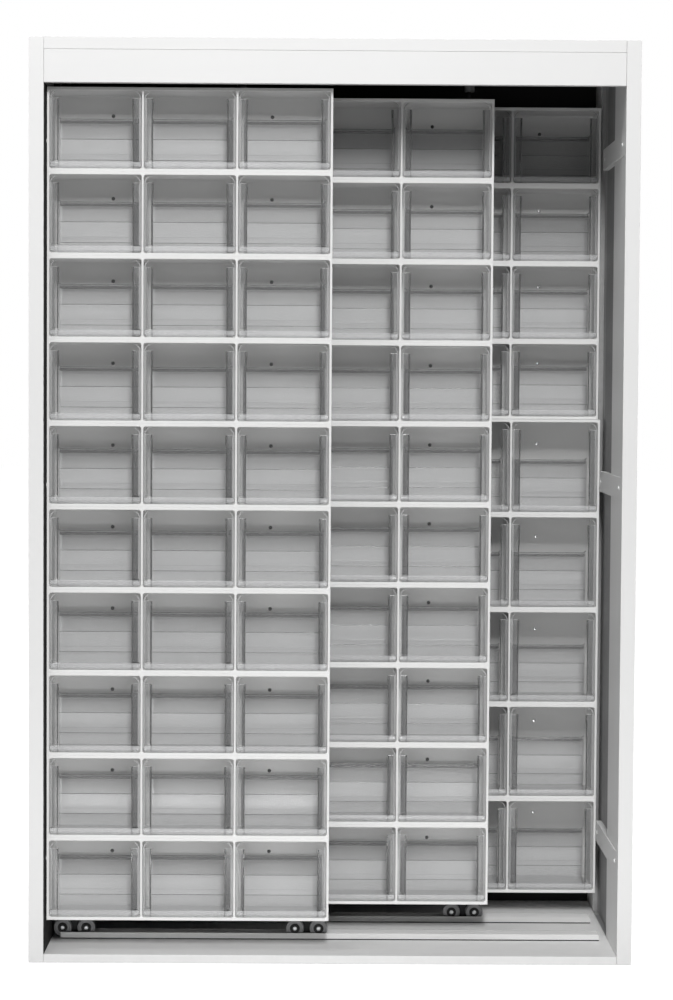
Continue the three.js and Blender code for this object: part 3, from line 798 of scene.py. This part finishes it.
def white_housing(recipe, colours):
    """Moulded white plastic: slow flow marks along the housing and a fine matt texture."""
    flow = recipe.noise(scale=9.0, detail=3.0, stretch=(0.35, 1, 2.6))
    texture = recipe.noise(scale=760.0, detail=1.5)
    colour = recipe.tones(flow, colours.housing, dark=0.96, light=1.03)
    return recipe.matt(colour, rough=0.34 + 0.10 * texture + 0.08 * flow, texture=texture, depth=0.00008)


def clear_plastic(recipe, colours, tone, alpha, streaks):
    """Clear moulded plastic, seen through by its alpha, with level streaks where it flowed into the mould."""
    bands = recipe.noise(scale=70.0, detail=3.0, stretch=(0.03, 0.3, 1.0), rough=0.7)
    cloud = recipe.noise(scale=11.0, detail=2.0)
    lines = (bands * BAND_SHARE + cloud * (1 - BAND_SHARE) - 0.5) * streaks + 0.5
    return recipe.finish(
        base_color=recipe.tones(lines, colours.clear, dark=tone * 0.72, light=tone * 1.28),
        roughness=0.10 + 0.10 * cloud,
        specular_ior_level=CLEAR_GLOSS,
        alpha=alpha,
        normal=recipe.bump(bands, depth=0.0004, strength=0.35),
    )


def powder_coat(recipe, colours):
    """White powder coat: orange-peel bumps, and grey rub marks along the channel."""
    peel = recipe.noise(scale=420.0, detail=2.0)
    rub = recipe.noise(scale=24.0, detail=5.0, stretch=(0.05, 1, 1), rough=0.7)
    marks = ((rub - RUB_START) * RUB_STEEPNESS).above(0.0).below(1.0) * RUB_COVER
    colour = recipe.tones(marks, colours.channel, dark=1.0, light=0.68)
    return recipe.matt(colour, rough=0.36 + 0.12 * peel, texture=peel, depth=0.00025)


def plated_steel(recipe, colours, tone, rough):
    """Zinc plating: pale crystals of slightly different brightness, and brushed scratches."""
    sockets = {"Vector": recipe.place(), "Scale": CRYSTAL_SCALE}
    crystals = recipe.node("ShaderNodeTexVoronoi", sockets, "Color")
    value = recipe.node("ShaderNodeSeparateColor", {0: crystals})
    scratch = recipe.noise(scale=240.0, detail=3.0, stretch=(0.06, 1, 1))
    return recipe.finish(
        base_color=recipe.tones(value, colours.zinc, dark=0.82 * tone, light=1.12 * tone),
        metallic=0.85,
        roughness=rough * (1 + 0.53 * value + 0.33 * scratch),
        normal=recipe.bump(scratch, depth=0.0001, strength=0.4),
    )


def moulded(recipe, colours, setting, rough):
    """Plain moulded or blackened surface: small cloudy change of tone and a fine texture."""
    cloud = recipe.noise(scale=60.0, detail=4.0)
    texture = recipe.noise(scale=900.0, detail=2.0)
    colour = recipe.tones(cloud, getattr(colours, setting), dark=0.82, light=1.15)
    return recipe.matt(colour, rough=rough + 0.14 * texture, texture=texture, depth=0.0001)


# The finishes: which function makes each, and the function's own values
FINISHES = {
    "white_laminate": (white_laminate,),
    "white_housing_plastic": (white_housing,),
    "channel_powder_coat": (powder_coat,),
    "axle_steel": (plated_steel, 1.0, 0.30),
    "bright_screw": (plated_steel, 1.7, 0.04),
    "black_screw": (moulded, "dark", 0.40),
    # A black sheet of painted shade on a side wall
    "black_felt": (moulded, "dark", 0.8),
    # A dark line of painted shade along the channels' feet
    "dark_seal": (moulded, "dark", 0.6),
    "dark_hub": (moulded, "dark", 0.42),
    "grey_nylon": (moulded, "wheel", 0.36),
    # Near black paint on the frames, which also paints the shade round the carriages
    "frame_paint": (moulded, "frame", 0.42),
    # Two greys of painted shade in the side walls' grooves
    "groove_lining": (moulded, "lining", 0.55),
    "groove_back": (moulded, "groove_back", 0.5),
    # Near black painted shade on the back board's inner face
    "back_inside": (moulded, "inside", 0.6),
    "clear_pane": (clear_plastic, 1.0, 0.04, 0.3),
    "clear_tray": (clear_plastic, 1.18, 0.29, 1.0),
    # Painted highlights on a pane's rim, a tray's bright rib and a wing's outer and top bars
    "clear_rim": (clear_plastic, 1.35, 0.42, 0.4),
    # Painted shade on a tray's lip, its front ends, the dark ribs and a wing's inner bar
    "clear_dense": (clear_plastic, 0.18, 0.65, 0.4),
    # Dark clear plastic of painted shade on the wings, the lip's paler line and the tray's upper rear wall
    "clear_wing": (clear_plastic, 0.45, 0.22, 1.0),
    # A paler floor plate in the bins, painting the light that falls on it
    "clear_bed": (clear_plastic, 1.50, 0.45, 0.8),
}


def finish_named(name):
    """A finish made once, from the colour settings, and used again by its name."""
    if name in bpy.data.materials:
        return bpy.data.materials[name]
    maker, *values = FINISHES[name]
    return maker(Recipe(bpy.data.materials.new(name)), bpy.context.scene.bin_cabinet_colours, *values)


class MakeBoards(bpy.types.Operator):
    """Make the cabinet's white boards, and the flat bars and the black sheet of painted shade on its side
    walls.
    """

    bl_idname = "bin_cabinet.make_boards"
    bl_label = "Boards"

    def execute(self, context):
        edge = context.scene.bin_cabinet_sizes.board_edge
        # Besides the white, these finishes paint shade: the back's inner face, the groove's two greys and the
        # black sheet
        names = ("white_laminate", "back_inside", "groove_lining", "groove_back", "black_felt")
        white, inside, lining, rear_groove_shade, shade_sheet = map(finish_named, names)
        for name in ("base", "top", "header", "back"):
            node = f"{name}_panel"
            low, high = box_of(node)
            if name == "header":
                low[2] += HEADER_LIFT
            board = slab(low, high, edge)
            faces = np.zeros((len(board) - 1, board.shape[1]), int)
            if name == "back":
                faces[1:-1, BACK_SHADE_QUAD] = 1
            skin = Skin().add(board, faces)
            make_piece(f"{name}_board", skin, [white, inside], "cabinet", [node])
        floor, roof = box_of("base_panel")[1][2], box_of("top_panel")[0][2]
        for side, inner in SIDES.items():
            node = f"{side}_side_panel"
            low, high = box_of(node)
            if inner > 0:
                face = high[0] = low[0] + SIDE_THICKNESS
            else:
                face = low[0] = high[0] - SIDE_THICKNESS
            start = low[1] + GROOVE_BEHIND_FRONT
            groove = (start, start + GROOVE_WIDTH, floor, roof)
            skin = Skin().add(*side_board(low, high, inner, groove, edge))
            make_piece(f"{side}_side_board", skin, [white, lining, rear_groove_shade], "cabinet", [node])
            self.make_bars(side, inner, face, low[1], edge, [white, shade_sheet])
            if side == SHADE_SHEET_SIDE:
                top = box_of("header_panel")[0][2] + HEADER_LIFT
                self.make_felt(side, face, low[1] + SHADE_SHEET_BEHIND_EDGE, floor, top, shade_sheet)
        return {"FINISHED"}

    def make_felt(self, side, face, start, floor, top, shade_sheet):
        """A thin black sheet of painted shade on a side board's inner face, from its front edge to the
        groove.
        """
        end = (face + SHADE_SHEET_THICKNESS, start + SHADE_SHEET_WIDTH, top)
        strip = slab((face, start, floor), end, SHADE_SHEET_THICKNESS / 4)
        make_piece(f"{side}_felt_strip", Skin().add(strip), [shade_sheet], "cabinet")

    def make_bars(self, side, inner, face, front, edge, finishes):
        """Three level bars let into a side board's inner face: a plan with a tapered front end, carried up.

        The black sheet of painted shade, where it lies, also covers the bars' front part: the plan's first
        two faces.
        """
        skin = Skin()
        proud, sunk = face + inner * BAR_PROUD, face - inner * (GROOVE_DEPTH + BAR_PROUD)
        start, end = front + BAR_FRONT, front + BAR_BACK
        covered = front + SHADE_SHEET_BEHIND_EDGE + SHADE_SHEET_WIDTH
        across = (face, proud, proud, proud, proud - inner * edge, sunk, sunk)
        along = (start, start + BAR_TAPER, covered, end - edge, end, end, start)
        plan = np.column_stack((across, along))
        cover = np.zeros(len(plan), int)
        if side == SHADE_SHEET_SIDE:
            cover[:2] = 1
        for level in BAR_LEVELS:
            heights = (level - BAR_HEIGHT / 2, level + BAR_HEIGHT / 2)
            skin.add(capped(np.stack([np.insert(plan, 2, height, axis=1) for height in heights])), cover)
        make_piece(f"{side}_wall_bars", skin, finishes, "cabinet")


class CoatChannels(bpy.types.Operator):
    """Finish channels, top guides and carriage frames, and lay beads of painted shade along the channels'
    feet.
    """

    bl_idname = "bin_cabinet.coat_channels"
    bl_label = "Channels and frames"

    def execute(self, context):
        # The frames' dark paint is partly painted shade
        coat, paint, shade_bead_finish = map(finish_named, ("channel_powder_coat", "frame_paint", "dark_seal"))
        for layer in CARRIAGES:
            for part, finish in (("floor_rail", coat), ("top_guide", coat), ("carriage_frame", paint)):
                for holder in frame["nodes"][f"{layer}_{part}"].material_slots:
                    holder.material = finish
            self.make_shade_bead(layer, shade_bead_finish)
        return {"FINISHED"}

    def make_shade_bead(self, layer, shade_bead_finish):
        """A dark bead of painted shade along the front foot of a floor channel: a low slab with round edges.
        """
        low, high = box_of(f"{layer}_floor_rail")
        start = (low[0], low[1] - SHADE_BEAD_PROUD, low[2])
        end = (high[0], low[1] + SHADE_BEAD_PROUD, low[2] + SHADE_BEAD_HEIGHT)
        skin = Skin().add(slab(start, end, SHADE_BEAD_PROUD / 2))
        make_piece(f"{layer}_rail_bead", skin, [shade_bead_finish], "cabinet")


class MakeHousings(bpy.types.Operator):
    """Make the stacks of white three-bin housings."""

    bl_idname = "bin_cabinet.make_housings"
    bl_label = "Housings"

    def execute(self, context):
        finishes = [finish_named("white_housing_plastic")]
        for layer, (node, body, _) in LAYERS.items():
            skin = Skin()
            for low, high in layer_rows(layer):
                housing(skin, low, high)
            make_piece(f"{layer}_housing_stack", skin, finishes, body, [node])
        return {"FINISHED"}


class MakeBins(bpy.types.Operator):
    """Make the clear bins: one by one where they tilt, and by rows where they stay shut."""

    bl_idname = "bin_cabinet.make_bins"
    bl_label = "Clear bins"

    def execute(self, context):
        sizes = context.scene.bin_cabinet_sizes
        finishes = [finish_named(name) for name, values in FINISHES.items() if clear_plastic in values]
        for layer, (_, body, _) in LAYERS.items():
            for number, (low, high) in enumerate(layer_rows(layer), start=1):
                middles, half = cell_places(low, high)
                row = Skin()
                for column, middle in zip(COLUMNS, middles):
                    skin = Skin() if layer == TILTING else row
                    clear_bin(skin, sizes, low, high, middle, half)
                    if layer == TILTING:
                        node = f"{layer}_bin_{number:02d}_{column}"
                        make_piece(f"{node}_clear", skin, finishes, node, [node])
                if layer != TILTING:
                    make_piece(f"{layer}_bins_row_{number:02d}", row, finishes, body)
        return {"FINISHED"}


class MakeWheels(bpy.types.Operator):
    """Make the carriage wheels, the caps on their axles and the guide rollers."""

    bl_idname = "bin_cabinet.make_wheels"
    bl_label = "Wheels and rollers"

    def execute(self, context):
        sizes = context.scene.bin_cabinet_sizes
        nylon, hub, steel = map(finish_named, ("grey_nylon", "dark_hub", "axle_steel"))
        for layer in CARRIAGES:
            for place in WHEEL_PLACES:
                node = f"{layer}_wheel_{place}"
                make_piece(f"{node}_tread", self.wheel(node, sizes), [nylon, hub], node, [node])
            self.axle_caps(layer, steel)
            for place in SIDES:
                node = f"{layer}_guide_roller_{place}"
                make_piece(f"{node}_sleeve", self.roller(node), [nylon], node, [node])
        return {"FINISHED"}

    def axle_caps(self, layer, steel):
        """A pressed steel cap over the front end of each of a carriage's axles: a low dome turned round Y."""
        skin = Skin()
        dome = np.array(CAP_DOME) * (CAP_RADIUS, CAP_HEIGHT)
        profile = np.concatenate((dome, ((CAP_RADIUS, CAP_SKIRT), (0, CAP_SKIRT))))
        for place in WHEEL_PLACES:
            low, high = box_of(f"{layer}_wheel_{place}")
            centre = (low + high) / 2
            centre[1] = low[1] - AXLE_PROUD
            skin.add(turned(profile, centre, "y", 2 * SCREW_SEGMENTS))
        make_piece(f"{layer}_axle_caps", skin, [steel], f"{layer}_carriage")

    def wheel(self, node, sizes):
        """A wheel: a closed section with a hub, a dished web and a rounded tread, turned round Y."""
        low, high = box_of(node)
        radius, half = (high[2] - low[2]) / 2, (high[1] - low[1]) / 2
        hub, face, dish = sizes.hub_radius, -half, WHEEL_DISH - half
        shoulder = WHEEL_ROUND_SHARE * WHEEL_ROUND
        end = (WHEEL_BORE, half)
        bore = (end, (WHEEL_BORE, face + HUB_BORE_EASE))
        boss = ((hub - HUB_FACE_EASE, face), (hub, face + HUB_SIDE_EASE), (hub + HUB_DRAFT, dish))
        web = ((radius - TREAD_FOOT, dish), (radius - TREAD_BROW, face))
        tread = self.rim(radius, half, ((WHEEL_ROUND, 0), (shoulder, shoulder), (0, WHEEL_ROUND)))
        section = np.concatenate((bore, boss, web, tread, [end]))
        finish = np.zeros((len(section) - 1, 1), int)
        finish[1:4] = 1
        return Skin().add(turned(section, (low + high) / 2, "y", WHEEL_SEGMENTS), finish)

    def roller(self, node):
        """A guide roller: a closed sleeve section with eased ends, turned round Z."""
        low, high = box_of(node)
        radius, half = (high[0] - low[0]) / 2, (high[2] - low[2]) / 2
        start, end = (ROLLER_BORE, -half), (ROLLER_BORE, half)
        rim = self.rim(radius, half, ((ROLLER_EASE, 0), (0, ROLLER_EASE)))
        section = np.concatenate(([start], rim, [end, start]))
        return Skin().add(turned(section, (low + high) / 2, "z", WHEEL_SEGMENTS))

    def rim(self, radius, half, edge):
        """A section's outer part: an edge, as distances in from the radius and from the end, at both ends."""
        edge = np.array(edge)
        return np.concatenate(((radius, -half) + edge * (-1, 1), (radius, half) - edge[::-1]))


class MakeScrews(bpy.types.Operator):
    """Set the screws in the housings, in the wall bars and in the back board."""

    bl_idname = "bin_cabinet.make_screws"
    bl_label = "Screws"

    def execute(self, context):
        names = ("black_screw", "bright_screw", "white_laminate", "axle_steel")
        black, bright, white, plated = map(finish_named, names)
        for layer, (_, body, _) in LAYERS.items():
            first, slot = (bright, "rail") if body == "cabinet" else (black, "frame_steel")
            skin = self.housing_screws(layer)
            make_piece(f"{layer}_housing_screws", skin, [first, black], body)
        self.wall_screws(white)
        self.back_screws(plated)
        return {"FINISHED"}

    def housing_screws(self, layer):
        """Two screws in the back of each of a layer's housings, with the second finish in a small top row."""
        skin = Skin()
        for number, (low, high) in enumerate(layer_rows(layer)):
            large = is_large(low, high)
            # The top row's screws take the black second finish as painted shade, where that row lies in
            # shadow
            shaded = int(number == 0 and not large)
            level = high[2] - (LARGE_SCREW_DROP if large else SMALL_SCREW_DROP)
            middle = (low[0] + high[0]) / 2
            for side in SIDES.values():
                place = (middle - side * HOUSING_SCREW_OFFSET, high[1] - HOUSING_BACK, level)
                screw_head(skin, place, "y", -1, shaded)
        return skin

    def wall_screws(self, finish):
        """Two screws in each flat bar of the side walls."""
        skin = Skin()
        for side, inner in SIDES.items():
            low, high = box_of(f"{side}_side_panel")
            face = high[0] if inner > 0 else low[0]
            for level in BAR_LEVELS:
                for depth in (BAR_FRONT + BAR_SCREW_INSET, BAR_BACK - BAR_SCREW_INSET):
                    screw_head(skin, (face, low[1] + depth, level), "x", inner)
        make_piece("wall_bar_screws", skin, [finish], "cabinet")

    def back_screws(self, finish):
        """Screws round the edge of the back board, which fix it to the other boards' battens."""
        low, high = box_of("back_panel")
        skin = Skin()
        across = np.linspace(low[0] + BACK_SCREW_INSET, high[0] - BACK_SCREW_INSET, BACK_SCREWS_ACROSS)
        up = np.linspace(low[2] + BACK_SCREW_INSET, high[2] - BACK_SCREW_INSET, BACK_SCREWS_UP)
        places = [(x, z) for x in across for z in (up[0], up[-1])]
        places += [(x, z) for x in (across[0], across[-1]) for z in up[1:-1]]
        for x, z in places:
            screw_head(skin, (x, high[1] - SCREW_HEIGHT, z), "y", 1)
        make_piece("back_board_screws", skin, [finish], "cabinet")


def seen(recipe):
    """1 for rays that show the surroundings: from the camera, and by gloss or through glass."""
    kinds = ("Is Camera Ray", "Is Glossy Ray", "Is Transmission Ray")
    camera, gloss, glass = (recipe.node("ShaderNodeLightPath", output=kind) for kind in kinds)
    return camera.above(gloss).above(glass)


class MakeStage(bpy.types.Operator):
    """Set up the pale floor, the soft lights, the white surroundings and the camera."""

    bl_idname = "bin_cabinet.make_stage"
    bl_label = "Studio"

    def execute(self, context):
        scene = context.scene
        studio = scene.bin_cabinet_studio
        self.make_floor(scene)
        for name, (power, *setting) in LAMPS.items():
            self.make_lamp(scene, f"{name}_lamp", getattr(studio, power), *setting)
        self.make_world(scene, studio)
        self.make_camera(scene, studio)
        scene.view_settings.view_transform = "Standard"
        return {"FINISHED"}

    def make_floor(self, scene):
        """A wide level floor that looks white and keeps the cabinet's shadow."""
        corners = np.array(((-1, -1, 0), (1, -1, 0), (1, 1, 0), (-1, 1, 0))) * FLOOR_REACH
        mesh = bpy.data.meshes.new("studio_floor")
        mesh.from_pydata((corners + (0, 0, FLOOR_LEVEL)).tolist(), [], [(0, 1, 2, 3)])
        floor = bpy.data.objects.new("studio_floor", mesh)
        scene.collection.objects.link(floor)
        recipe = Recipe(bpy.data.materials.new("studio_floor"))
        paper = recipe.noise(scale=1.2, detail=3.0)
        tone = recipe.tones(paper, scene.bin_cabinet_colours.floor, dark=0.99, light=1.01)
        matt = recipe.node("ShaderNodeBsdfDiffuse", {"Color": tone})
        beside = recipe.along("X").size() - CAD_BOX[1][0]
        before = recipe.along("Y").size() - CAD_BOX[1][1]
        near = (1 - beside.above(before) / FLOOR_FADE).above(0.0).below(1.0)
        strength = seen(recipe) * (1 - FLOOR_SHADE * near)
        glow = recipe.node("ShaderNodeEmission", {"Color": WHITE, "Strength": strength})
        both = recipe.node("ShaderNodeAddShader", {0: matt, 1: glow})
        recipe.node("ShaderNodeOutputMaterial", {"Surface": both})
        mesh.materials.append(recipe.owner)

    def make_lamp(self, scene, name, power, place, target, width, height):
        """A soft rectangular lamp turned to a target."""
        light = bpy.data.lights.new(name, "AREA")
        light.shape = "RECTANGLE"
        light.size = width
        light.size_y = height
        light.energy = power
        lamp = bpy.data.objects.new(name, light)
        scene.collection.objects.link(lamp)
        turn = (Vector(target) - Vector(place)).to_track_quat("-Z", "Y")
        lamp.matrix_world = Matrix.LocRotScale(Vector(place), turn, None)

    def make_world(self, scene, studio):
        """White to the eye, and an even dim light for everything else."""
        recipe = Recipe(bpy.data.worlds.new("studio_world"))
        strength = seen(recipe) * (1 - studio.sky) + studio.sky
        sky = recipe.node("ShaderNodeBackground", {"Color": WHITE, "Strength": strength})
        recipe.node("ShaderNodeOutputWorld", {"Surface": sky})
        scene.world = recipe.owner

    def make_camera(self, scene, studio):
        """The camera: level and looking along Y, then rolled, pitched and turned by three small angles."""
        sensor = bpy.data.cameras.new("studio_camera")
        sensor.lens = studio.camera_lens
        sensor.sensor_width = SENSOR_WIDTH
        sensor.clip_end = CAMERA_REACH
        camera = bpy.data.objects.new("studio_camera", sensor)
        scene.collection.objects.link(camera)
        yaw, pitch, roll = studio.camera_yaw, studio.camera_pitch, studio.camera_roll
        pose = Matrix.Translation(studio.camera_place)
        for angle, axis in ((yaw, "Z"), (pitch, "X"), (roll, "Y"), (math.pi / 2, "X")):
            pose = pose @ Matrix.Rotation(angle, 4, axis)
        camera.matrix_world = pose
        scene.camera = camera


STEPS = (MakeBoards, CoatChannels, MakeHousings, MakeBins, MakeWheels, MakeScrews, MakeStage)
GROUPS = {
    "bin_cabinet_sizes": CabinetSizes,
    "bin_cabinet_colours": CabinetColours,
    "bin_cabinet_studio": StudioSettings,
}


class CabinetPanel(bpy.types.Panel):
    """Sidebar panel that lists the steps and their settings."""

    bl_idname = "VIEW3D_PT_bin_cabinet"
    bl_label = "Bin cabinet"
    bl_space_type = "VIEW_3D"
    bl_region_type = "UI"
    bl_category = "Bin cabinet"

    def draw(self, context):
        for step in STEPS:
            self.layout.operator(step.bl_idname)
        for group_name, kind in GROUPS.items():
            box = self.layout.box()
            for name in kind.__annotations__:
                box.prop(getattr(context.scene, group_name), name)


CLASSES = (*GROUPS.values(), *STEPS, CabinetPanel)


def register():
    for kind in CLASSES:
        bpy.utils.register_class(kind)
    for name, kind in GROUPS.items():
        setattr(bpy.types.Scene, name, PointerProperty(type=kind))


def unregister():
    for name in GROUPS:
        delattr(bpy.types.Scene, name)
    for kind in reversed(CLASSES):
        bpy.utils.unregister_class(kind)


def main():
    """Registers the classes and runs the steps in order."""
    register()
    bpy.ops.bin_cabinet.make_boards()
    bpy.ops.bin_cabinet.coat_channels()
    bpy.ops.bin_cabinet.make_housings()
    bpy.ops.bin_cabinet.make_bins()
    bpy.ops.bin_cabinet.make_wheels()
    bpy.ops.bin_cabinet.make_screws()
    bpy.ops.bin_cabinet.make_stage()


if __name__ == "__main__":
    main()
